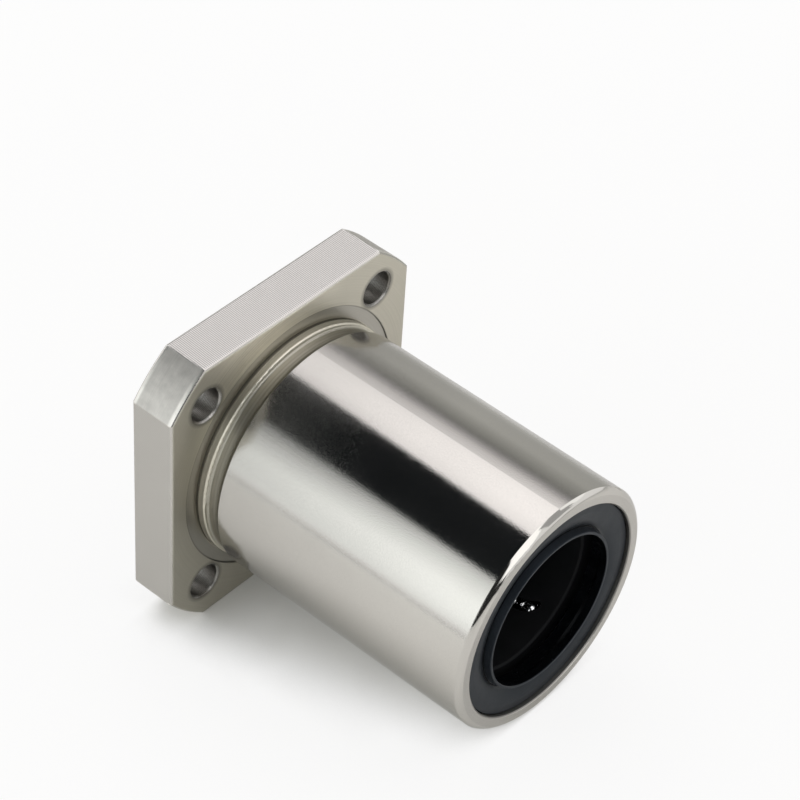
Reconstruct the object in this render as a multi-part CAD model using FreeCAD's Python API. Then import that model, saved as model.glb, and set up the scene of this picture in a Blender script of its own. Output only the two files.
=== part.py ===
import FreeCAD, Part
import math
import os

from FreeCAD import Placement, Rotation, Vector

# Flanged linear ball bearing for a 25 mm shaft, in millimetres.
# +X runs along the bore from the flange to the free end and +Z is up.
# The origin is where the bore axis meets the seat face of the flange.

# Overall sizes
shaft_d = 25.0            # shaft that the bearing runs on
section = 7.5             # radial height, from the shaft to the outside of the sleeve
length = 59.0             # flange face to free end

# Flange
flange_t = 8.0
flat_reach = 5.0          # from the sleeve out to the flats
corner_reach = 11.0       # from the sleeve out to the turned corners
flange_edge = 0.55        # rounded edge of both faces
screw_count = 4
screw_reach = 5.5         # from the sleeve out to the screw centres
screw_hole_d = 5.5
head_bore_d = 9.0         # counterbore for the screw heads
head_bore_depth = 5.1
hole_edge = 0.3           # chamfer of each hole's mouth

# Neck between the seat face and the ground sleeve
recess_reach = 2.0        # recess in the seat face, from the sleeve outwards
recess_depth = 0.2
crevice_l = 0.25          # undercut between the recess and the collar
crevice_drop = 0.4        # drops are counted from the ground surface inwards
collar_l = 1.55           # seat face to the groove
collar_drop = 0.1
collar_round = 0.3
groove_l = 2.55           # grinding groove
groove_drop = 0.8
groove_rise_l = 0.8       # curve from its bottom up to the ground surface
ground_edge = 0.35        # chamfer where the ground surface starts

# Sleeve
socket_wall = 2.4         # wall outside the seal sockets and the return grooves
socket_edge = 0.2
end_round = 0.88          # rounded edge of the free end
end_bulge = 0.4           # 0 is a straight chamfer, 1 a full quarter round
lead_l = 1.2              # ramp at each end of a raceway
lead_drop = 0.3

# Balls and their circuits
ball_d = 3.175
circuit_count = 6
turn_balls = 3            # balls in each turn
ball_gap = 0.075          # between neighbours in a turn
race_gap = 0.04           # ball to raceway
groove_gap = 0.1          # return ball to its groove

# Retainer
cage_gap = 0.2            # shaft to retainer
cage_wall_gap = 0.165     # raceway to retainer
channel_gap = 0.08        # ball to channel
rib_wall = 0.8            # resin beside a return channel
rib_gap = 0.2             # rib to return groove
cage_end_wall = 0.8       # least resin beyond a turn
cage_edge = 0.3
cage_play = 0.1           # retainer to retaining ring

# Retaining rings
ring_t = 1.0
ring_play = 0.05          # ring to its groove, on every side
ring_seat = 0.65          # depth of the groove
ring_h = 2.2              # radial height of the ring
ring_opening = 5.0

# Seals
seal_recess = 0.7         # below the sleeve's end
seal_t = 3.0
seal_gap = 0.02           # seal to socket
seal_edge = 0.2
face_w = 1.6              # flat outer part of the seal's face
dish_depth = 0.75         # from the flat down to the foot of the lip
dish_sag = 0.3            # share of that depth reached halfway
lip_w = 0.45
lip_foot_w = 0.7
lip_recess = 0.2          # top of the lip below the sleeve's end
lip_land = 1.1            # length of the lip on the shaft
lip_edge = 0.08
throat_gap = 0.8          # shaft to the seal behind the lip

# Radii and places worked out from the sizes above
shaft_r = shaft_d / 2
sleeve_r = shaft_r + section
socket_r = sleeve_r - socket_wall
free_end_x = length - flange_t
flange_face_x = -flange_t
middle_x = (free_end_x + flange_face_x) / 2
ground_start_x = collar_l + groove_l + ground_edge

ball_r = ball_d / 2
turn_r = (ball_d + ball_gap) / (2 * math.sin(math.pi / (2 * turn_balls)))
pitch = math.pi * turn_r / turn_balls
loaded_r = shaft_r + ball_r
return_r = socket_r - groove_gap - ball_r
race_r = loaded_r + ball_r + race_gap
channel_r = ball_r + channel_gap
rib_half_w = channel_r + rib_wall

ring_groove_l = ring_t + 2 * ring_play
ring_depth = seal_recess + seal_t
cage_depth = ring_depth + ring_groove_l + cage_play
cage_l = length - 2 * cage_depth
cage_bore_r = shaft_r + cage_gap
cage_r = race_r - cage_wall_gap
row_balls = int((cage_l - 2 * (turn_r + channel_r + cage_end_wall)) / pitch)
row_l = row_balls * pitch

AXIS = Vector(1, 0, 0)
CENTRE = Vector(0, 0, 0)
OUTWARD = Vector(0, 0, 1)


def turned(steps):
    """Solid of revolution about X. Each step is a corner (x, r), or four numbers for an arc that passes
    the first pair and ends at the second."""
    edges = []
    last = Vector(steps[-1][-2], 0, steps[-1][-1])
    for step in steps:
        end = Vector(step[-2], 0, step[-1])
        if len(step) == 4:
            edges.append(Part.Arc(last, Vector(step[0], 0, step[1]), end).toShape())
        else:
            edges.append(Part.makeLine(last, end))
        last = end
    return Part.Face(Part.Wire(edges)).revolve(CENTRE, AXIS, 360)


def bar(radius, start_x, end_x):
    """Round bar on the bore axis."""
    return Part.makeCylinder(radius, end_x - start_x, Vector(start_x, 0, 0), AXIS)


def polar(radius, degrees):
    """Point in the plane of the seat face, with the angle counted from +Y towards +Z."""
    angle = math.radians(degrees)
    return Vector(0, radius * math.cos(angle), radius * math.sin(angle))


def mirrored(shape):
    """The same piece at the other end of the bearing."""
    return shape.mirror(Vector(middle_x, 0, 0), AXIS)


def circuit_frame(index):
    """Placement of one ball circuit. Its racetrack lies in the local X-Y plane, with the loaded row at
    y = turn_r and the return row at y = -turn_r, and local Z points out of the bearing."""
    apart = math.acos((loaded_r**2 + return_r**2 - (2 * turn_r) ** 2) / (2 * loaded_r * return_r))
    start = 360 / circuit_count * index
    loaded = polar(loaded_r, start)
    back = polar(return_r, start + math.degrees(apart))
    across = loaded - back
    tilt = math.degrees(math.atan2(across.z, across.y))
    middle = (loaded + back) / 2 + Vector(middle_x, 0, 0)
    return Placement(middle, Rotation(AXIS, tilt))


def in_circuit(shape, index):
    """Copy of a shape drawn in a circuit's local frame, put in its place."""
    return shape.transformed(circuit_frame(index).toMatrix())


def return_rib(half_width, start_x, end_x, radius):
    """Rib along the return row, with flanks square to the racetrack, ending at a radius of the bore."""
    foot = Vector(start_x - middle_x, -turn_r - half_width, -section)
    block = Part.makeBox(end_x - start_x, 2 * half_width, sleeve_r, foot)
    limit = bar(radius, start_x, end_x)
    return [in_circuit(block, index).common(limit) for index in range(circuit_count)]


def screw_hole():
    """Void of one flange hole on the bore axis: counterbore, clearance hole and chamfered mouths."""
    hole_r = screw_hole_d / 2
    head_r = head_bore_d / 2
    head_x = flange_face_x + head_bore_depth
    return turned([
        (flange_face_x, 0),
        (flange_face_x, head_r + hole_edge),
        (flange_face_x + hole_edge, head_r),
        (head_x, head_r),
        (head_x, hole_r),
        (-hole_edge, hole_r),
        (0, hole_r + hole_edge),
        (0, 0),
    ])


def flange():
    """Square flange whose corners are turned to one circle, with rounded rims and a recessed ring."""
    corner_r = sleeve_r + corner_reach
    across = 2 * (sleeve_r + flat_reach)
    bend = flange_edge * (1 - math.sqrt(0.5))
    disc = turned([
        (flange_face_x, 0),
        (flange_face_x, corner_r - flange_edge),
        (flange_face_x + bend, corner_r - bend, flange_face_x + flange_edge, corner_r),
        (-flange_edge, corner_r),
        (-bend, corner_r - bend, 0, corner_r - flange_edge),
        (0, 0),
    ])
    block = Part.makeBox(flange_t, across, across, Vector(flange_face_x, -across / 2, -across / 2))
    rims = [edge for edge in block.Edges if edge.BoundBox.XLength < flange_edge]
    block = block.makeFillet(flange_edge, rims)
    recess = bar(sleeve_r + recess_reach, -recess_depth, 0)
    return disc.common(block).cut(recess)


def tube():
    """Outside of the sleeve: collar and grinding groove at the flange, ground length, rounded end."""
    crevice_r = sleeve_r - crevice_drop
    crevice_end_x = crevice_l - recess_depth
    collar_r = sleeve_r - collar_drop
    collar_start_x = crevice_end_x + collar_r - crevice_r
    shoulder_r = collar_r - collar_round
    shoulder = collar_round * math.sqrt(0.5)
    groove_r = sleeve_r - groove_drop
    groove_end_x = collar_l + groove_l
    corner = shoulder_r - groove_r
    bend = corner * (1 - math.sqrt(0.5))
    edge_r = sleeve_r - ground_edge
    rise_x = groove_end_x - groove_rise_l
    rise_r = (groove_rise_l**2 + (edge_r - groove_r) ** 2) / (2 * (edge_r - groove_r))
    halfway = math.asin(groove_rise_l / rise_r) / 2
    rise_middle = (rise_x + rise_r * math.sin(halfway), groove_r + rise_r * (1 - math.cos(halfway)))
    end_x = free_end_x - end_round
    bulge = end_round * (0.5 + end_bulge * (math.sqrt(0.5) - 0.5))
    return turned([
        (flange_face_x / 2, 0),
        (flange_face_x / 2, crevice_r),
        (crevice_end_x, crevice_r),
        (collar_start_x, collar_r),
        (collar_l - collar_round, collar_r),
        (collar_l - collar_round + shoulder, shoulder_r + shoulder, collar_l, shoulder_r),
        (collar_l + bend, groove_r + bend, collar_l + corner, groove_r),
        (rise_x, groove_r),
        (*rise_middle, groove_end_x, edge_r),
        (ground_start_x, sleeve_r),
        (end_x, sleeve_r),
        (end_x + bulge, sleeve_r - end_round + bulge, free_end_x, sleeve_r - end_round),
        (free_end_x, 0),
    ])


def bore_end():
    """Void of the free end: chamfered socket with its ring groove, up to the middle of the raceways."""
    groove_r = socket_r + ring_seat
    groove_x = free_end_x - ring_depth
    race_x = middle_x + row_l / 2
    return turned([
        (middle_x, 0),
        (middle_x, race_r),
        (race_x - lead_l, race_r),
        (race_x, race_r + lead_drop),
        (race_x, socket_r),
        (groove_x - ring_groove_l, socket_r),
        (groove_x - ring_groove_l, groove_r),
        (groove_x, groove_r),
        (groove_x, socket_r),
        (free_end_x - socket_edge, socket_r),
        (free_end_x, socket_r + socket_edge),
        (free_end_x, 0),
    ])


def flanged_sleeve():
    """Hardened sleeve and flange in one piece, with raceway lands between six return grooves."""
    screw_r = sleeve_r + screw_reach
    hole = screw_hole()
    turn = 360 / screw_count
    holes = [hole.translated(polar(screw_r, turn * (index + 0.5))) for index in range(screw_count)]
    half_row = row_l / 2
    grooves = return_rib(rib_half_w + rib_gap, middle_x - half_row, middle_x + half_row, socket_r)
    end = bore_end()
    body = flange().fuse(tube()).removeSplitter()
    return body.cut([end, mirrored(end)] + grooves + holes).removeSplitter()


def channel():
    """Void of one racetrack in the circuit's frame: round bottomed, and open outwards."""
    top = sleeve_r
    left = turn_r - channel_r
    right = turn_r + channel_r
    arc = Part.Arc(Vector(0, left, 0), Vector(0, turn_r, -channel_r), Vector(0, right, 0)).toShape()
    walls = Part.makePolygon([
        Vector(0, right, 0),
        Vector(0, right, top),
        Vector(0, left, top),
        Vector(0, left, 0),
    ])
    section_face = Part.Face(Part.Wire([arc] + walls.Edges))
    half_row = Vector(row_l / 2, 0, 0)
    straight = section_face.translated(-half_row).extrude(2 * half_row)
    opposite = straight.rotated(CENTRE, OUTWARD, 180)
    turn = section_face.translated(half_row).revolve(half_row, OUTWARD, -180)
    far_turn = turn.rotated(CENTRE, OUTWARD, 180)
    return straight.fuse([turn, opposite, far_turn]).removeSplitter()


def ball_retainer():
    """Resin cage: a tube with a rib for each return row, and a channel for each circuit."""
    start_x = middle_x - cage_l / 2
    end_x = middle_x + cage_l / 2
    ribs = return_rib(rib_half_w, start_x, end_x, socket_r - rib_gap)
    bore = turned([
        (start_x, 0),
        (start_x, cage_bore_r + cage_edge),
        (start_x + cage_edge, cage_bore_r),
        (end_x - cage_edge, cage_bore_r),
        (end_x, cage_bore_r + cage_edge),
        (end_x, 0),
    ])
    racetrack = channel()
    racetracks = [in_circuit(racetrack, index) for index in range(circuit_count)]
    body = bar(cage_r, start_x, end_x).fuse(ribs).removeSplitter()
    return body.cut([bore] + racetracks).removeSplitter()


def retaining_ring():
    """Open spring ring in the groove at the free end."""
    outer_r = socket_r + ring_seat - ring_play
    inner_r = outer_r - ring_h
    outer_x = free_end_x - ring_depth - ring_play
    inner_x = outer_x - ring_t
    ring = bar(outer_r, inner_x, outer_x).cut(bar(inner_r, inner_x, outer_x))
    corner = Vector(inner_x, -ring_opening / 2, -sleeve_r)
    return ring.cut(Part.makeBox(ring_t, ring_opening, sleeve_r, corner))


def end_seal():
    """Rubber seal of the free end: flat face, dished foot and a thin lip on the shaft."""
    outer_r = socket_r - seal_gap
    throat_r = shaft_r + throat_gap
    flat_r = outer_r - face_w
    foot_r = shaft_r + lip_foot_w
    top_r = shaft_r + lip_w
    front_x = free_end_x - seal_recess
    back_x = front_x - seal_t
    top_x = free_end_x - lip_recess
    foot_x = front_x - dish_depth
    land_x = top_x - lip_edge - lip_land
    throat_x = land_x - (throat_r - shaft_r)
    dish_x = front_x - dish_sag * dish_depth
    dish_r = (flat_r + foot_r) / 2
    return turned([
        (back_x, throat_r),
        (back_x, outer_r),
        (front_x - seal_edge, outer_r),
        (front_x, outer_r - seal_edge),
        (front_x, flat_r),
        (dish_x, dish_r, foot_x, foot_r),
        (top_x - lip_edge, top_r),
        (top_x, top_r - lip_edge),
        (top_x, shaft_r + lip_edge),
        (top_x - lip_edge, shaft_r),
        (land_x, shaft_r),
        (throat_x, throat_r),
    ])


def ball_row(side):
    """Balls of one straight row in the circuit's frame: side 1 is loaded and side -1 returns."""
    first = -row_l / 2 + pitch / 2
    places = [Vector(first + pitch * step, side * turn_r, 0) for step in range(row_balls)]
    return Part.makeCompound([Part.makeSphere(ball_r, place) for place in places])


def ball_turn(end):
    """Balls of one turn in the circuit's frame: end 1 is at the free end and end -1 at the flange."""
    balls = []
    for step in range(turn_balls):
        angle = math.pi / turn_balls * (step + 0.5)
        along = end * (row_l / 2 + turn_r * math.sin(angle))
        balls.append(Part.makeSphere(ball_r, Vector(along, turn_r * math.cos(angle), 0)))
    return Part.makeCompound(balls)


seal = end_seal()
ring = retaining_ring()
pieces = {
    "flanged_sleeve": flanged_sleeve(),
    "ball_retainer": ball_retainer(),
    "free_end_seal": seal,
    "flange_end_seal": mirrored(seal),
    "free_end_ring": ring,
    "flange_end_ring": mirrored(ring),
}
circuit_pieces = {
    "loaded_balls": ball_row(1),
    "return_balls": ball_row(-1),
    "free_end_turn_balls": ball_turn(1),
    "flange_end_turn_balls": ball_turn(-1),
}
for name, balls in circuit_pieces.items():
    for index in range(circuit_count):
        pieces[f"{name}_{index + 1}"] = in_circuit(balls, index)

os.makedirs("parts", exist_ok=True)
for name, shape in pieces.items():
    shape.exportStep(f"parts/{name}.step")
    print(name, len(shape.Solids), shape.isValid(), round(shape.Volume, 2))
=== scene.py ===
import math

import bpy
import numpy as np
from mathutils import Matrix, Vector

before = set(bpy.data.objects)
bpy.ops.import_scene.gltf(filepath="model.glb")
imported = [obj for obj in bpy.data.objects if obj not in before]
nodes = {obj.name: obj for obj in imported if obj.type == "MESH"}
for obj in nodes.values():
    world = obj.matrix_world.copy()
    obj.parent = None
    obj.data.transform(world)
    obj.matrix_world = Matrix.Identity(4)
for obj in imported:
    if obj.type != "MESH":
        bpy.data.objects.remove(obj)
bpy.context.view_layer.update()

# Flanged sleeve.
# One piece of bearing steel: a ground tube with a square flange turned from the bar, its flats milled and its
# four screw holes drilled, then plated a warm white. Each face keeps the marks of the tool that made it.

MM = 0.001
no_limit = 2.0
plated_steel = (0.600, 0.582, 0.548)
face_tan = (-0.004, -0.012, -0.058)
flat_white = (0.0, 0.004, 0.014)
edge_gloss = (0.8, 0.8, 0.8, 1.0)
mirror_limit = 0.07
sleeve_r = 20 * MM
sleeve_end = 51 * MM
ground_from, ground_to = 4.4 * MM, 50.1 * MM
hazy_to, hazy_fade = 17 * MM, 9 * MM
rim_inner_r = 19.1 * MM
socket_r = 17.75 * MM
neck_floor_r = 18.5 * MM
bead_from, bead_to = 1.25 * MM, 1.58 * MM
groove_from, groove_to = 1.64 * MM, 2.80 * MM
neck_shade_from = 2.70 * MM
flange_t = 8 * MM
flat_half = 25 * MM
corner_r = 31 * MM
corner_edge_w = 0.85 * MM
recess_r = 22 * MM
recess_below, front_above = -0.3 * MM, 0.1 * MM
screw_hole_at = 18.031 * MM
screw_hole_r = 3.1 * MM
mouth_inner_r, mouth_outer_r, mouth_below = 2.4 * MM, 3.4 * MM, -0.6 * MM
head_bore_r = 4.8 * MM
head_bore_from = -2.85 * MM
grain_size, grain_height, grain_contrast = 0.18 * MM, 7.6e-6, 0.16
speck_level, speck_roughness = 0.60, 0.06
haze_size, haze_level = 0.027 * MM, 0.62
turning_pitch, turning_height, turning_contrast = 0.16 * MM, 3.6e-6, 0.20
neck_pitch, neck_height, neck_contrast = 0.20 * MM, 8.0e-6, 0.5
milling_pitch, milling_height, milling_contrast = 0.32 * MM, 3.0e-6, 0.30
milling_slant, milling_waver = 0.06, 0.35
side_flat_finer = -0.85
drilling_pitch, drilling_height, drilling_contrast = 0.25 * MM, 6.0e-6, 0.22
drilling_waver, hole_grain = 9000.0, 2.5


def feed(tree, socket, value):
    """Gives an input socket a link or a plain value."""
    if isinstance(value, bpy.types.NodeSocket):
        tree.links.new(value, socket)
    else:
        socket.default_value = value


def add(tree, kind, options=None, **inputs):
    """Adds a shader node, sets its options, and gives each named input a value or a link."""
    node = tree.nodes.new("ShaderNode" + kind)
    for name, value in (options or {}).items():
        setattr(node, name, value)
    for name, value in inputs.items():
        feed(tree, node.inputs[name.replace("_", " ")], value)
    return node


def calc(tree, operation, *terms):
    """One step of arithmetic on numbers or sockets, and its result."""
    node = add(tree, "Math", {"operation": operation})
    for socket, term in zip(node.inputs, terms):
        feed(tree, socket, term)
    return node.outputs[0]


def vector_calc(tree, operation, *terms):
    """One step of arithmetic on places or colours, and its result."""
    node = add(tree, "VectorMath", {"operation": operation})
    for socket, term in zip(node.inputs, terms):
        feed(tree, socket, term)
    return node.outputs["Value" if operation in ("LENGTH", "DOT_PRODUCT") else "Vector"]


def scaled(tree, vector, amount):
    """A place or a colour times a number."""
    node = add(tree, "VectorMath", {"operation": "SCALE"}, Scale=amount)
    feed(tree, node.inputs[0], vector)
    return node.outputs["Vector"]


def total(tree, terms):
    """The sum of several sockets."""
    result = terms[0]
    for term in terms[1:]:
        result = calc(tree, "ADD", result, term)
    return result


def fade(tree, value, start, end, low, high):
    """A level that goes from low to high while a value goes from start to end, and is steady beyond both."""
    level = add(tree, "MapRange", Value=value, From_Min=start, From_Max=end, To_Min=low, To_Max=high)
    return level.outputs[0]


def new_group(name, inputs, outputs):
    """An empty node group with named number sockets, its input node and its output node."""
    group = bpy.data.node_groups.new(name, "ShaderNodeTree")
    for label, value in inputs.items():
        socket = group.interface.new_socket(label, in_out="INPUT", socket_type="NodeSocketFloat")
        socket.default_value = value
    for label, kind in outputs.items():
        group.interface.new_socket(label, in_out="OUTPUT", socket_type=kind)
    return group, group.nodes.new("NodeGroupInput").outputs, group.nodes.new("NodeGroupOutput").inputs


def use(tree, group, **inputs):
    """Places a node group in a material with its own values, and gives its outputs."""
    return add(tree, "Group", {"node_tree": group}, **inputs).outputs


def new_finish(name):
    """A material with a bare Principled shader, as its node tree and that shader."""
    material = bpy.data.materials.new(name)
    material.use_nodes = True
    tree = material.node_tree
    return material, tree, tree.nodes["Principled BSDF"]


def colour_by(tree, shader, colour, amount):
    """Gives a shader a colour that an amount makes deeper or paler over the surface."""
    tree.links.new(scaled(tree, colour, amount), shader.inputs["Base Color"])


def emboss(tree, shader, height):
    """Gives a shader a fine relief, its height in metres."""
    relief = add(tree, "Bump", Height=height, Strength=1.0, Distance=1.0)
    tree.links.new(relief.outputs[0], shader.inputs["Normal"])


def paint(node_names, material):
    """Puts one material on every slot of the named CAD nodes."""
    for name in node_names:
        for slot in nodes[name].material_slots:
            slot.material = material


# Places on the bearing: distance along the bore, radius from it, and the two offsets across it.
bore_places, _, out = new_group("bore_places", {}, {
    "Along": "NodeSocketFloat", "Radius": "NodeSocketFloat", "Across Y": "NodeSocketFloat",
    "Across Z": "NodeSocketFloat", "Round": "NodeSocketVector"})
split = add(bore_places, "SeparateXYZ", Vector=add(bore_places, "TexCoord").outputs["Object"]).outputs
across = add(bore_places, "CombineXYZ", Y=split["Y"], Z=split["Z"]).outputs[0]
bore_places.links.new(split["X"], out["Along"])
bore_places.links.new(split["Y"], out["Across Y"])
bore_places.links.new(split["Z"], out["Across Z"])
bore_places.links.new(vector_calc(bore_places, "LENGTH", across), out["Radius"])
bore_places.links.new(vector_calc(bore_places, "NORMALIZE", across), out["Round"])

# A mask that is 1 where a value lies between two limits, with a soft edge at both.
span, given, out = new_group("span", {"Value": 0.0, "Low": 0.0, "High": 1.0, "Edge": 0.00005},
                             {"Mask": "NodeSocketFloat"})
rise = calc(span, "DIVIDE", calc(span, "SUBTRACT", given["Value"], given["Low"]), given["Edge"])
fall = calc(span, "DIVIDE", calc(span, "SUBTRACT", given["High"], given["Value"]), given["Edge"])
inside = calc(span, "MULTIPLY_ADD", calc(span, "MINIMUM", rise, fall), 0.5, 0.5)
span.links.new(calc(span, "MINIMUM", calc(span, "MAXIMUM", inside, 0.0), 1.0), out["Mask"])

# Marks that run round the bore, as a lathe or a grinding wheel leaves them: noise drawn out round the circle.
# Pitch is their spacing, Length how many of them follow each other round one radian.
ring_marks, given, out = new_group("ring_marks", {"Pitch": 0.0002, "Length": 3.0, "Detail": 2.0},
                                   {"Height": "NodeSocketFloat"})
where = use(ring_marks, bore_places)
step = calc(ring_marks, "DIVIDE", calc(ring_marks, "ADD", where["Along"], where["Radius"]), given["Pitch"])
drawn = vector_calc(ring_marks, "ADD", scaled(ring_marks, where["Round"], given["Length"]),
                    add(ring_marks, "CombineXYZ", X=step).outputs[0])
noise = add(ring_marks, "TexNoise", Vector=drawn, Scale=1.0, Detail=given["Detail"], Roughness=0.55)
ring_marks.links.new(noise.outputs[0], out["Height"])

# Faint clouds of handling and oil, which change the gloss more than the colour.
smudges, given, out = new_group("smudges", {"Size": 0.01, "Contrast": 1.0}, {"Cloud": "NodeSocketFloat"})
cloud_place = scaled(smudges, add(smudges, "TexCoord").outputs["Object"],
                     calc(smudges, "DIVIDE", 1.0, given["Size"]))
noise = add(smudges, "TexNoise", Vector=cloud_place, Scale=1.0, Detail=4.0, Roughness=0.6).outputs[0]
swing = calc(smudges, "SUBTRACT", noise, 0.5)
smudges.links.new(calc(smudges, "MULTIPLY", swing, given["Contrast"]), out["Cloud"])

sleeve_finish, tree, steel = new_finish("plated_sleeve_steel")
at = use(tree, bore_places)
along, radius, across_y, across_z = at["Along"], at["Radius"], at["Across Y"], at["Across Z"]
side_y, side_z = calc(tree, "ABSOLUTE", across_y), calc(tree, "ABSOLUTE", across_z)


def from_hole(offset):
    """How far a place is, along one way across the bore, from the axis of the nearest screw hole."""
    return calc(tree, "SUBTRACT", offset, calc(tree, "MULTIPLY", calc(tree, "SIGN", offset), screw_hole_at))


hole_y, hole_z = from_hole(across_y), from_hole(across_z)
hole_r = calc(tree, "SQRT", calc(tree, "ADD", calc(tree, "POWER", hole_y, 2.0),
                                 calc(tree, "POWER", hole_z, 2.0)))


def zone(value, low, high, edge=0.05 * MM):
    """The mask of a stretch between two limits of one of its places, in the finish that is being made."""
    return use(tree, span, Value=value, Low=low, High=high, Edge=edge)["Mask"]


def both(*shares):
    """The product of masks, patterns and amounts, in the finish that is being made."""
    result = shares[0]
    for share in shares[1:]:
        result = calc(tree, "MULTIPLY", result, share)
    return result


def without(mask):
    """The mask of everything outside another."""
    return calc(tree, "SUBTRACT", 1.0, mask)


def over(value, layers):
    """A value that is the same all over, then takes each zone's own value inside that zone's mask."""
    for mask, own in layers:
        value = calc(tree, "ADD", value, both(mask, calc(tree, "SUBTRACT", own, value)))
    return value


in_hole = calc(tree, "MAXIMUM", zone(hole_r, -no_limit, screw_hole_r),
               both(zone(hole_r, -no_limit, head_bore_r), zone(along, -no_limit, head_bore_from)))
ground = both(zone(along, ground_from, ground_to), zone(radius, sleeve_r - 0.25 * MM, no_limit))
near_flange = both(ground, zone(along, -no_limit, hazy_to, hazy_fade))
rim = both(zone(along, ground_to, no_limit), zone(radius, rim_inner_r, no_limit))
end_face = both(zone(along, sleeve_end - 0.03 * MM, no_limit), zone(radius, socket_r, rim_inner_r))
neck = both(zone(along, recess_below, ground_from),
            zone(radius, neck_floor_r, sleeve_r + 0.05 * MM))
neck_shade = both(neck, zone(along, neck_shade_from, ground_from, 0.45 * MM))
neck_bead_highlight = both(neck, zone(along, bead_from, bead_to, 0.10 * MM))
neck_groove_shade = both(neck, zone(along, groove_from, groove_to, 0.12 * MM))
crevice_shade = both(zone(along, recess_below, 0.05 * MM, 0.1 * MM),
               zone(radius, 19.3 * MM, sleeve_r - 0.1 * MM, 0.1 * MM))
on_front = both(zone(along, recess_below, front_above), without(in_hole))
front = both(on_front, zone(along, -0.08 * MM, front_above), zone(radius, recess_r, no_limit))
recess = both(on_front, zone(along, recess_below, -0.12 * MM),
              zone(radius, sleeve_r + 0.05 * MM, recess_r))
recess_edge_shade = both(on_front, zone(radius, recess_r - 0.14 * MM, recess_r + 0.1 * MM))
hole_mouth_shade = both(zone(along, mouth_below, front_above),
                  zone(hole_r, mouth_inner_r, mouth_outer_r, 0.4 * MM))
back = both(zone(along, -no_limit, -flange_t + 0.03 * MM), without(in_hole))
flange_side = both(zone(along, -flange_t + 0.3 * MM, -0.3 * MM), without(in_hole))
flats = both(zone(calc(tree, "MAXIMUM", side_y, side_z), flat_half - 0.08 * MM, no_limit), flange_side)
on_side = zone(side_y, flat_half - 0.1 * MM, no_limit)
coarse_flats = both(flats, calc(tree, "MULTIPLY_ADD", on_side, side_flat_finer, 1.0))
corners = both(zone(radius, corner_r - 0.1 * MM, no_limit), flange_side)
back_corner_edge = zone(along, -no_limit, -flange_t + corner_edge_w, 0.15 * MM)
front_corner_edge = zone(along, -corner_edge_w, no_limit, 0.15 * MM)
corner_edge_highlight = both(corners, calc(tree, "MAXIMUM", back_corner_edge, front_corner_edge))
socket = zone(radius, -no_limit, socket_r)

# The tube was tumbled after grinding, which leaves an even grain with some duller specks, and a fine haze
# near the flange where little of it was reached; turning marks stay on the lathe's faces and in the neck.


def even_grain(size):
    """Noise of one grain size that runs the same way in every direction, from 0 to 1."""
    place = scaled(tree, add(tree, "TexCoord").outputs["Object"], 1.0 / size)
    return add(tree, "TexNoise", Vector=place, Scale=1.0, Detail=1.0, Roughness=0.5).outputs[0]


def swinging(pattern):
    """A pattern from 0 to 1, moved to swing about zero."""
    return calc(tree, "SUBTRACT", pattern, 0.5)


grain = even_grain(grain_size)
specks = both(ground, zone(grain, speck_level, no_limit, 0.05))
haze = both(near_flange, zone(even_grain(haze_size), haze_level, no_limit, 0.04))
turning = use(tree, ring_marks, Pitch=turning_pitch, Length=1.2, Detail=3.0)["Height"]
neck_lines = use(tree, ring_marks, Pitch=neck_pitch, Length=0.6, Detail=1.0)["Height"]
# Milling lines straight across each flat, a little uneven; drilling lines wind down the screw holes.
uneven = use(tree, smudges, Size=0.9 * MM, Contrast=0.25 * MM)["Cloud"]
feed_way = calc(tree, "ADD", both(across_z, on_side), both(across_y, without(on_side)))
feed_way = total(tree, [feed_way, both(along, milling_slant), both(uneven, milling_waver)])
milling = calc(tree, "SINE", both(feed_way, 2 * math.pi / milling_pitch))
winding = calc(tree, "ADD", both(along, 2 * math.pi / drilling_pitch),
               calc(tree, "ARCTAN2", hole_z, hole_y))
drilling = calc(tree, "SINE", calc(tree, "ADD", winding, both(uneven, drilling_waver)))

faced = total(tree, [front, recess, back, corners, end_face, both(rim, 0.35)])
height = total(tree, [
    both(ground, grain, grain_height),
    both(neck, neck_lines, neck_height),
    both(faced, turning, turning_height),
    both(coarse_flats, milling, milling_height),
    both(in_hole, calc(tree, "MULTIPLY_ADD", grain, hole_grain, drilling), drilling_height),
])
# Each zone with its roughness and how deep its colour is; the rounded edges between keep the plain values.
plain_roughness, plain_depth = 0.24, 1.04
zones = [
    (ground, 0.08, 1.0),
    (near_flange, 0.11, 0.95),
    (haze, 0.60, 0.94),
    (rim, 0.10, 1.0),
    (end_face, 0.26, 0.90),
    (neck, 0.40, 0.95),
    # painted highlight: the neck bead's colour is made paler than the steel round it
    (neck_bead_highlight, 0.40, 1.25),
    # painted shade: the neck groove's colour is made darker
    (neck_groove_shade, 0.40, 0.68),
    # painted shade: the neck darkens towards the sleeve's ground surface
    (neck_shade, 0.42, 0.46),
    # painted shade: the crevice at the root of the neck is darkened
    (crevice_shade, 0.50, 0.40),
    (front, 0.42, 0.92),
    # painted shade: the recessed ring round the neck is made darker than the face
    (recess, 0.36, 0.74),
    # painted shade: a dark line along the recess edge
    (recess_edge_shade, 0.40, 0.50),
    # painted shade: a darker ring round each screw hole's mouth
    (hole_mouth_shade, 0.45, 0.42),
    (back, 0.30, 1.0),
    (flats, 0.36, 1.04),
    # painted shade: the side flats are darker than the top and bottom ones
    (both(flats, on_side), 0.36, 0.94),
    (corners, 0.46, 1.05),
    # painted highlight: a paler band along the front and back edges of the turned corners
    (corner_edge_highlight, 0.30, 1.40),
    # painted shade: the screw holes and counterbores are darker inside
    (in_hole, 0.30, 0.55),
    # painted shade: the socket wall at the free end is darkened
    (socket, 0.40, 0.40),
]
cloud = use(tree, smudges, Size=14 * MM, Contrast=0.10)["Cloud"]
fine_cloud = use(tree, smudges, Size=2 * MM, Contrast=0.06)["Cloud"]
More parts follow.
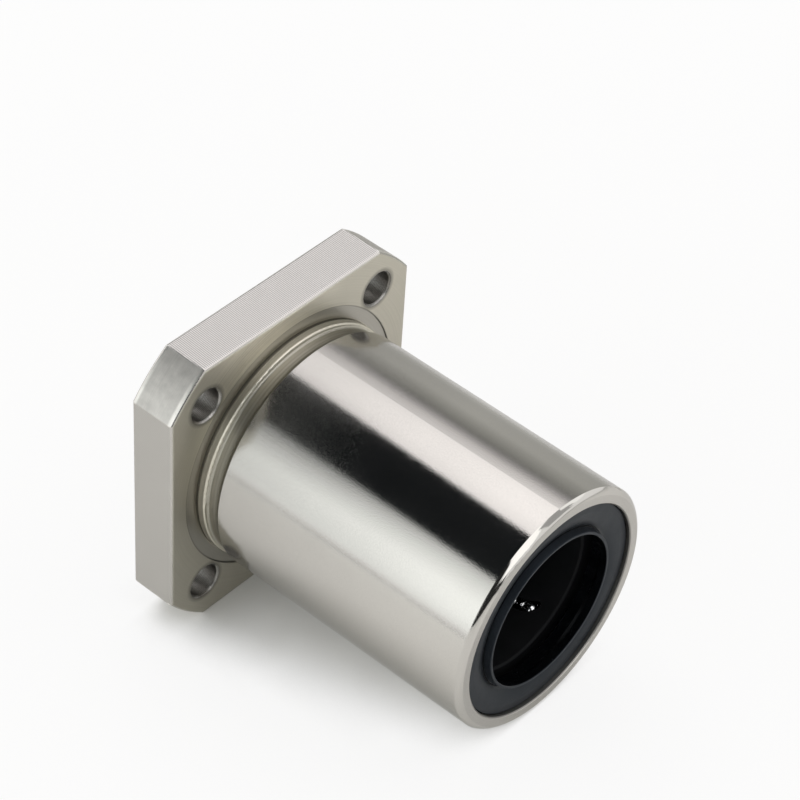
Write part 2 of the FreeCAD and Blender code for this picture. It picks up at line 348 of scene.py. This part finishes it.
roughness = total(tree, [over(plain_roughness, [(mask, rough) for mask, rough, _ in zones]),
                         cloud, fine_cloud, both(specks, speck_roughness)])
depth = over(plain_depth, [(mask, deep) for mask, _, deep in zones])
# Tool marks in the colour, then painted light and shade that change the tone from one end of a face to the
# other.
highlight_above_the_neck = both(zone(across_y, -14 * MM, 4 * MM, 7 * MM), zone(across_z, 11 * MM, no_limit, 8 * MM))
shade_behind_the_top = zone(across_y, 3 * MM, no_limit, 3 * MM)
marks = total(tree, [
    both(coarse_flats, milling, milling_contrast),
    both(ground, swinging(grain), grain_contrast),
    both(neck, swinging(neck_lines), neck_contrast),
    both(in_hole, calc(tree, "MULTIPLY_ADD", drilling, drilling_contrast, swinging(grain))),
    both(faced, swinging(turning), turning_contrast),
    both(corners, use(tree, smudges, Size=1.6 * MM, Contrast=0.5)["Cloud"]),
    # painted highlight: turning streaks made paler on the front face above the neck
    both(front, highlight_above_the_neck, turning),
    # painted light: the flats paler towards the back
    both(coarse_flats, fade(tree, across_y, -18 * MM, 18 * MM, -0.06, 0.09)),
    # painted light and shade: the front face and recess paler at the top, darker at the bottom
    both(calc(tree, "ADD", front, recess), fade(tree, across_z, -22 * MM, 22 * MM, -0.12, 0.12)),
    # painted light: the sleeve darker near the flange and paler towards its free end
    both(ground, fade(tree, along, 6 * MM, 44 * MM, -0.04, 0.05)),
    # painted shade: the back of the sleeve darker near its free end
    both(ground, shade_behind_the_top, fade(tree, along, 28 * MM, 48 * MM, 0.0, -0.18)),
    # painted light: the far half a little paler towards the free end
    fade(tree, along, 24 * MM, 44 * MM, 0.0, 0.05),
    cloud,
])
# The front face and recess have their own tan; on the neck the same tan is a painted reflection of the face.
tan_and_neck_reflection = total(tree, [front, neck, both(recess, 0.5)])
colour = vector_calc(tree, "MULTIPLY_ADD", face_tan, tan_and_neck_reflection, plated_steel)
colour = vector_calc(tree, "MULTIPLY_ADD", flat_white, coarse_flats, colour)
colour_by(tree, steel, colour, both(depth, calc(tree, "ADD", marks, 1.0)))
steel.inputs["Metallic"].default_value = 1.0
steel.inputs["Specular Tint"].default_value = edge_gloss
tree.links.new(calc(tree, "MAXIMUM", roughness, mirror_limit), steel.inputs["Roughness"])
emboss(tree, steel, height)
paint(["flanged_sleeve"], sleeve_finish)

# Retaining rings.
# Two open rings punched from spring steel strip, left dark from hardening and lightly oiled.
# They snap into grooves of the sleeve and hold the retainer between the seals.

hardened_steel = (0.16, 0.16, 0.17)
ring_roughness = 0.38
strip_pitch, strip_height = 0.12 * MM, 2.0e-6
ring_finish, tree, steel = new_finish("hardened_ring_steel")
cloud = use(tree, smudges, Size=1.5 * MM, Contrast=0.5)["Cloud"]
strip = use(tree, ring_marks, Pitch=strip_pitch, Length=4.0, Detail=2.0)["Height"]
steel.inputs["Metallic"].default_value = 1.0
tree.links.new(calc(tree, "ADD", cloud, ring_roughness), steel.inputs["Roughness"])
colour_by(tree, steel, hardened_steel, calc(tree, "ADD", cloud, 1.0))
emboss(tree, steel, calc(tree, "MULTIPLY", strip, strip_height))
paint(["free_end_ring", "flange_end_ring"], ring_finish)

# Ball retainer.
# A tube moulded in black resin with six racetrack channels, pushed into the sleeve's socket.
# Its skin has the faint grain of the mould and a film of grease.

cage_black = (0.007, 0.0075, 0.0085)
cage_roughness, cage_gloss = 0.60, 0.15
mould_grain_size, mould_grain_height = 0.15 * MM, 4.0e-6
cage_finish, tree, resin = new_finish("moulded_cage_resin")
cloud = use(tree, smudges, Size=3 * MM, Contrast=0.4)["Cloud"]
mould_grain = use(tree, smudges, Size=mould_grain_size, Contrast=1.0)["Cloud"]
tree.links.new(calc(tree, "ADD", cloud, cage_roughness), resin.inputs["Roughness"])
resin.inputs["Specular IOR Level"].default_value = cage_gloss
colour_by(tree, resin, cage_black, calc(tree, "ADD", cloud, 1.0))
emboss(tree, resin, calc(tree, "MULTIPLY", mould_grain, mould_grain_height))
paint(["ball_retainer"], cage_finish)

# Balls.
# Bearing balls of hardened chrome steel, lapped bright and oiled, 168 in six circuits.
# They run loose in the channels and carry the shaft along six rows.

ball_bright = (0.70, 0.70, 0.71)
ball_roughness, lapped_limit = 0.08, 0.04
ball_finish, tree, steel = new_finish("lapped_ball_steel")
cloud = use(tree, smudges, Size=0.8 * MM, Contrast=0.12)["Cloud"]
steel.inputs["Metallic"].default_value = 1.0
tree.links.new(calc(tree, "MAXIMUM", calc(tree, "ADD", cloud, ball_roughness), lapped_limit),
               steel.inputs["Roughness"])
colour_by(tree, steel, ball_bright, calc(tree, "ADD", cloud, 1.0))
paint([name for name in nodes if "balls" in name], ball_finish)

# End seals.
# Black nitrile rings moulded with a thin lip that wipes the shaft, pressed into the sleeve at both ends.
# The face is matt from the mould; the lip is flashed off to a finer, lighter edge.

rubber_black = (0.0060, 0.0076, 0.0108)
rubber_roughness, rubber_gloss, rubber_gloss_tint = 0.47, 0.4, (0.74, 0.87, 1.0, 1.0)
darkest_rubber = 0.15
lip_r = 13.05 * MM
shaft_r = 12.5 * MM
lip_land, seal_throat_r = 49.7 * MM, 13.6 * MM
bearing_middle = 21.5 * MM
skin_size, skin_height = 0.12 * MM, 5.0e-6
seal_finish, tree, rubber = new_finish("matt_seal_rubber")
at = use(tree, bore_places)
from_middle = calc(tree, "ABSOLUTE", calc(tree, "SUBTRACT", at["Along"], bearing_middle))
lip = zone(at["Radius"], 0.0, lip_r, 0.1 * MM)
behind_lip = zone(from_middle, -no_limit, lip_land - bearing_middle, 0.1 * MM)
throat = zone(at["Radius"], -no_limit, seal_throat_r, 0.1 * MM)
wiping_land = zone(at["Radius"], -no_limit, shaft_r + 0.04 * MM, 0.03 * MM)
# Behind the lip and in the throat the rubber is greased, so glossier, and its colour is darkened almost to
# black as painted shade.
greased_and_painted_shade = calc(tree, "MAXIMUM", both(behind_lip, throat), wiping_land)
cloud = use(tree, smudges, Size=4 * MM, Contrast=0.5)["Cloud"]
skin = use(tree, smudges, Size=skin_size, Contrast=1.0)["Cloud"]
dull = total(tree, [both(cloud, 0.4), both(greased_and_painted_shade, -0.22)])
tree.links.new(calc(tree, "ADD", dull, rubber_roughness), rubber.inputs["Roughness"])
rubber.inputs["Specular IOR Level"].default_value = rubber_gloss
rubber.inputs["Specular Tint"].default_value = rubber_gloss_tint
tone = total(tree, [both(cloud, 0.35), both(lip, 0.20), both(skin, 0.25), both(greased_and_painted_shade, -1.1)])
colour_by(tree, rubber, rubber_black,
          calc(tree, "MAXIMUM", calc(tree, "ADD", tone, 1.0), darkest_rubber))
emboss(tree, rubber, both(skin, skin_height))
paint(["free_end_seal", "flange_end_seal"], seal_finish)

# Table.
# A white sheet under the bearing, which lies tipped on it: the front edge of the flange and the rim of the
# free end both touch, so the sheet leans by 5.6 degrees in the bearing's own frame.

table_tip = math.radians(5.642)
table_touch = Vector((-0.45 * MM, 0.0, -25.01 * MM))
table_half = 3.0
table_roughness = 0.7
sheet_white = {"Red": 0.845, "Green": 0.84, "Blue": 0.815}
shadow_reach = 18 * MM
shaded_below, white_above = 0.36, 0.72
mirrored_white = 0.02


def grid_mesh(name, places):
    """A mesh of quads over a grid of points, rows by columns by three."""
    rows, columns = places.shape[:2]
    corner = np.arange(rows * columns).reshape(rows, columns)
    quads = np.stack([corner[:-1, :-1], corner[:-1, 1:], corner[1:, 1:], corner[1:, :-1]], -1).reshape(-1, 4)
    mesh = bpy.data.meshes.new(name)
    mesh.from_pydata(places.reshape(-1, 3).tolist(), [], quads.tolist())
    piece = bpy.data.objects.new(name, mesh)
    bpy.context.scene.collection.objects.link(piece)
    return piece


def flat_sheet(name, centre, along_way, across_way, points=9):
    """A flat sheet: its centre plus u times one half-length and v times the other, u and v from -1 to 1."""
    u, v = np.meshgrid(np.linspace(-1, 1, points), np.linspace(-1, 1, points), indexing="xy")
    places = np.array(centre) + u[..., None] * np.array(along_way) + v[..., None] * np.array(across_way)
    return grid_mesh(name, places)


uphill = Vector((math.cos(table_tip), 0.0, math.sin(table_tip)))
table = flat_sheet("table", table_touch, uphill * table_half, (0.0, table_half, 0.0))
table_finish, tree, sheet = new_finish("white_table_sheet")
cloud = use(tree, smudges, Size=60 * MM, Contrast=0.03)["Cloud"]
white = {channel: calc(tree, "ADD", cloud, level) for channel, level in sheet_white.items()}
tree.links.new(add(tree, "CombineColor", **white).outputs[0], sheet.inputs["Base Color"])
sheet.inputs["Roughness"].default_value = table_roughness
# The camera sees the sheet as plain white, apart from the soft shadow close to the bearing.
open_sky = add(tree, "AmbientOcclusion", {"samples": 8}, Distance=shadow_reach).outputs["AO"]
# painted light: the sheet's shadow is lifted more towards the free end of the bearing
painted_light_towards_free_end = fade(tree, use(tree, bore_places)["Along"], 18 * MM, 42 * MM, 0.0, 0.25)
away = vector_calc(tree, "LENGTH", add(tree, "TexCoord").outputs["Object"])
far_white = fade(tree, away, 0.10, 0.40, 0.86, 1.0)
openness = calc(tree, "ADD", open_sky, painted_light_towards_free_end)
whitening = fade(tree, openness, shaded_below, white_above, 0.0, far_white)
light_path = add(tree, "LightPath").outputs
mirrored = calc(tree, "ADD", light_path["Is Glossy Ray"], light_path["Is Transmission Ray"])
seen = calc(tree, "ADD", both(light_path["Is Camera Ray"], whitening), both(mirrored, mirrored_white))
glow = add(tree, "Emission", Color=(1.0, 1.0, 1.0, 1.0), Strength=1.0).outputs[0]
blend = add(tree, "MixShader")
tree.links.new(seen, blend.inputs[0])
tree.links.new(sheet.outputs[0], blend.inputs[1])
tree.links.new(glow, blend.inputs[2])
tree.links.new(blend.outputs[0], tree.nodes["Material Output"].inputs["Surface"])
table.data.materials.append(table_finish)

# Studio.
# Two long softboxes with a black card leaning between them over the bearing, a grey board behind it and
# small cards before its free end: cloth and paper on stands, all out of the camera's sight.

lamp_reach = -0.25
flange_mirrors_at, free_end_mirrors_at = -0.33, -0.235
housing_gap, housing_overlap, housing_black = 0.01, 1.02, 0.01
neutral = (1.0, 1.0, 1.0, 1.0)
room_fill, room_white = 0.44, 1.0


def around_bore(angle, distance, place_along=lamp_reach):
    """A point at an angle about the bore, from +Y towards +Z, at a distance from it."""
    turn = math.radians(angle)
    return Vector((place_along, distance * math.cos(turn), distance * math.sin(turn)))


def across_angles(angles, distance):
    """The middle angle of a flat thing that faces the bore and spans some angles, and half its width."""
    low, high = min(angles), max(angles)
    return (low + high) / 2, distance * math.tan(math.radians((high - low) / 2))


def shade_across(tree, share, angles):
    """A shade that fades from angle to angle, each with its level; share runs from 0 to 1 over the width."""
    middle, half = across_angles(angles, 1.0)
    ramp = add(tree, "ValToRGB", Fac=share)
    stops = ramp.color_ramp.elements
    for angle, level in angles.items():
        place = 0.5 + math.tan(math.radians(angle - middle)) / half / 2
        at_end = angle in (min(angles), max(angles))
        stop = stops[0 if angle == min(angles) else -1] if at_end else stops.new(place)
        stop.color = (level, level, level, 1.0)
    return ramp.outputs["Color"]


def cover(piece, finish, tree, tint, level):
    """Covers a card with paper of a tint that is lit to a level. Only bright metal sees it."""
    lit_paper = add(tree, "Emission", Color=tint, Strength=level).outputs[0]
    tree.links.new(lit_paper, tree.nodes["Material Output"].inputs["Surface"])
    piece.data.materials.append(finish)
    piece.visible_camera = piece.visible_diffuse = piece.visible_shadow = False


def card(name, distance, length, angles, tint=neutral, place_along=lamp_reach, lean=0.0):
    """A lit card that faces the bore and spans some angles about it, with a shade at each.

    A leaning card moves round the bore by its lean for each length along it."""
    middle, half = across_angles(angles, distance)
    across = around_bore(middle + 90, half, 0.0)
    edge_way = (Vector((1.0, 0.0, 0.0)) + lean * across.normalized()) * length / 2
    piece = flat_sheet(name, around_bore(middle, distance, place_along), edge_way, across)
    finish, tree, _ = new_finish(name + "_paper")
    low_edge = around_bore(middle, distance, 0.0) - across
    raised = vector_calc(tree, "SUBTRACT", add(tree, "TexCoord").outputs["Object"], low_edge)
    share = vector_calc(tree, "DOT_PRODUCT", raised, across / (2 * across.length_squared))
    cover(piece, finish, tree, tint, shade_across(tree, share, angles))


def softbox(name, distance, length, radiance, tint, angles, near_angles):
    """A softbox in a black housing that faces the bore and spans some angles about it, unevenly bright.

    The first shades hold where the flange mirrors it, the second where the free end does, mixed between."""
    card(name + "_housing", distance + housing_gap, length * housing_overlap,
         {min(angles): housing_black, max(angles): housing_black})
    middle, half = across_angles(angles, distance)
    lamp = bpy.data.lights.new(name, "AREA")
    lamp.shape = "RECTANGLE"
    lamp.size, lamp.size_y = length, 2 * half
    lamp.energy = math.pi * radiance * lamp.size * lamp.size_y
    lamp.color = tint
    lamp.use_nodes = True
    tree = lamp.node_tree
    on_cloth = add(tree, "NewGeometry").outputs
    from_top = add(tree, "SeparateXYZ", Vector=on_cloth["Parametric"]).outputs["Y"]
    share = calc(tree, "SUBTRACT", 1.0, from_top)
    place = add(tree, "SeparateXYZ", Vector=on_cloth["Position"]).outputs["X"]
    nearness = fade(tree, place, flange_mirrors_at, free_end_mirrors_at, 0.0, 1.0)
    cloth = shade_across(tree, share, angles)
    change = calc(tree, "SUBTRACT", shade_across(tree, share, near_angles), cloth)
    cloth = calc(tree, "MULTIPLY_ADD", change, nearness, cloth)
    tree.links.new(cloth, tree.nodes["Emission"].inputs["Strength"])
    holder = bpy.data.objects.new(name, lamp)
    towards = around_bore(middle, 1.0, 0.0)
    frame_axes = Matrix((Vector((1, 0, 0)), towards.cross(Vector((1, 0, 0))), towards)).transposed()
    holder.matrix_world = Matrix.Translation(around_bore(middle, distance)) @ frame_axes.to_4x4()
    holder.visible_camera = False
    bpy.context.scene.collection.objects.link(holder)


softbox("back_softbox", 0.5, 1.4, 1.34, (1.0, 0.976, 0.990),
        {31: 0.12, 38: 0.30, 44: 0.55, 50: 0.78, 57: 1.0, 72: 0.98, 81: 0.84, 91: 0.80},
        {31: 0.12, 38: 0.30, 44: 0.55, 50: 0.78, 57: 1.0, 72: 1.0, 81: 0.92, 91: 0.86})
softbox("front_softbox", 0.6, 1.4, 1.26, (0.97, 1.0, 1.0),
        {121: 0.01, 127: 0.05, 130: 0.16, 134: 0.32, 142: 0.56, 150: 0.74, 157: 0.89, 171: 0.84, 180.5: 0.88},
        {121: 0.01, 127: 0.10, 130: 0.28, 132.3: 0.50, 134.3: 0.62, 142: 0.82, 150: 0.98, 157: 1.07,
         171: 1.05, 180.5: 0.88})
card("black_card", 0.45, 1.0, {85.1: 0.014, 129.8: 0.014}, (0.80, 0.92, 1.0, 1.0), -0.215, 0.30)
card("grey_board", 0.09, 0.7, {-14: 0.70, 0: 0.55, 20: 0.55, 32: 0.38, 41: 0.24},
     (1.0, 1.0, 0.955, 1.0), -0.30)
card("softbox_foot", 0.34, 1.4,
     {179.6: 1.02, 180.9: 1.0, 182: 0.92, 183.9: 0.77, 185.4: 0.62, 185.8: 0.60})


def end_card(name, distance, sideways, upward, level):
    """A card of one shade that faces the free end, spanning some degrees sideways and some upward."""
    turn, lift = math.radians(sum(sideways) / 2), math.radians(sum(upward) / 2)
    facing = Vector((math.cos(turn) * math.cos(lift), math.sin(turn) * math.cos(lift), math.sin(lift)))
    across = Vector((-math.sin(turn), math.cos(turn), 0.0))
    half_width = distance * math.cos(lift) * math.tan(math.radians(sideways[1] - sideways[0]) / 2)
    half_height = distance * math.tan(math.radians(upward[1] - upward[0]) / 2)
    centre = Vector((sleeve_end, 0.0, 0.0)) + facing * distance
    piece = flat_sheet(name, centre, across * half_width, facing.cross(across) * half_height)
    finish, tree, _ = new_finish(name + "_paper")
    cover(piece, finish, tree, neutral, level)


end_card("end_panel", 0.35, (-24, 20), (17, 70), 1.6)
end_card("near_grey_card", 0.12, (22, 50), (24, 58), 0.46)
end_card("side_panel", 0.3, (54, 80), (24, 46), 1.25)
end_card("low_dark_card", 0.9, (-66, -8), (2, 23), 0.025)
end_card("side_dark_card", 0.95, (-66, -24), (18, 54), 0.025)

world = bpy.data.worlds.new("white_room")
world.use_nodes = True
tree = world.node_tree
light_path = add(tree, "LightPath").outputs
seen = total(tree, [light_path["Is Camera Ray"], light_path["Is Glossy Ray"],
                    light_path["Is Transmission Ray"]])
whiter = calc(tree, "MULTIPLY", calc(tree, "MINIMUM", seen, 1.0), room_white - room_fill)
tree.links.new(calc(tree, "ADD", room_fill, whiter), tree.nodes["Background"].inputs["Strength"])
tree.nodes["Background"].inputs["Color"].default_value = neutral
bpy.context.scene.world = world

# Camera.
# A long lens from the front right and above, leaning four degrees.
# Its length is given in pixels of a picture 800 wide.

picture_width, lens_in_pixels = 800, 3004.6
camera_lean = math.radians(4.01)
stand = Vector((0.21764, -0.24132, 0.31073))
aim = Vector((0.014195, 0.007829, 0.011535))
camera = bpy.data.cameras.new("camera")
camera.sensor_width = 36.0
camera.lens = camera.sensor_width * lens_in_pixels / picture_width
camera.clip_start = 0.01
holder = bpy.data.objects.new("camera", camera)
turn = (aim - stand).to_track_quat("-Z", "Y").to_matrix() @ Matrix.Rotation(camera_lean, 3, "Z")
holder.matrix_world = Matrix.Translation(stand) @ turn.to_4x4()
bpy.context.scene.collection.objects.link(holder)
bpy.context.scene.camera = holder
bpy.context.scene.view_settings.view_transform = "Standard"
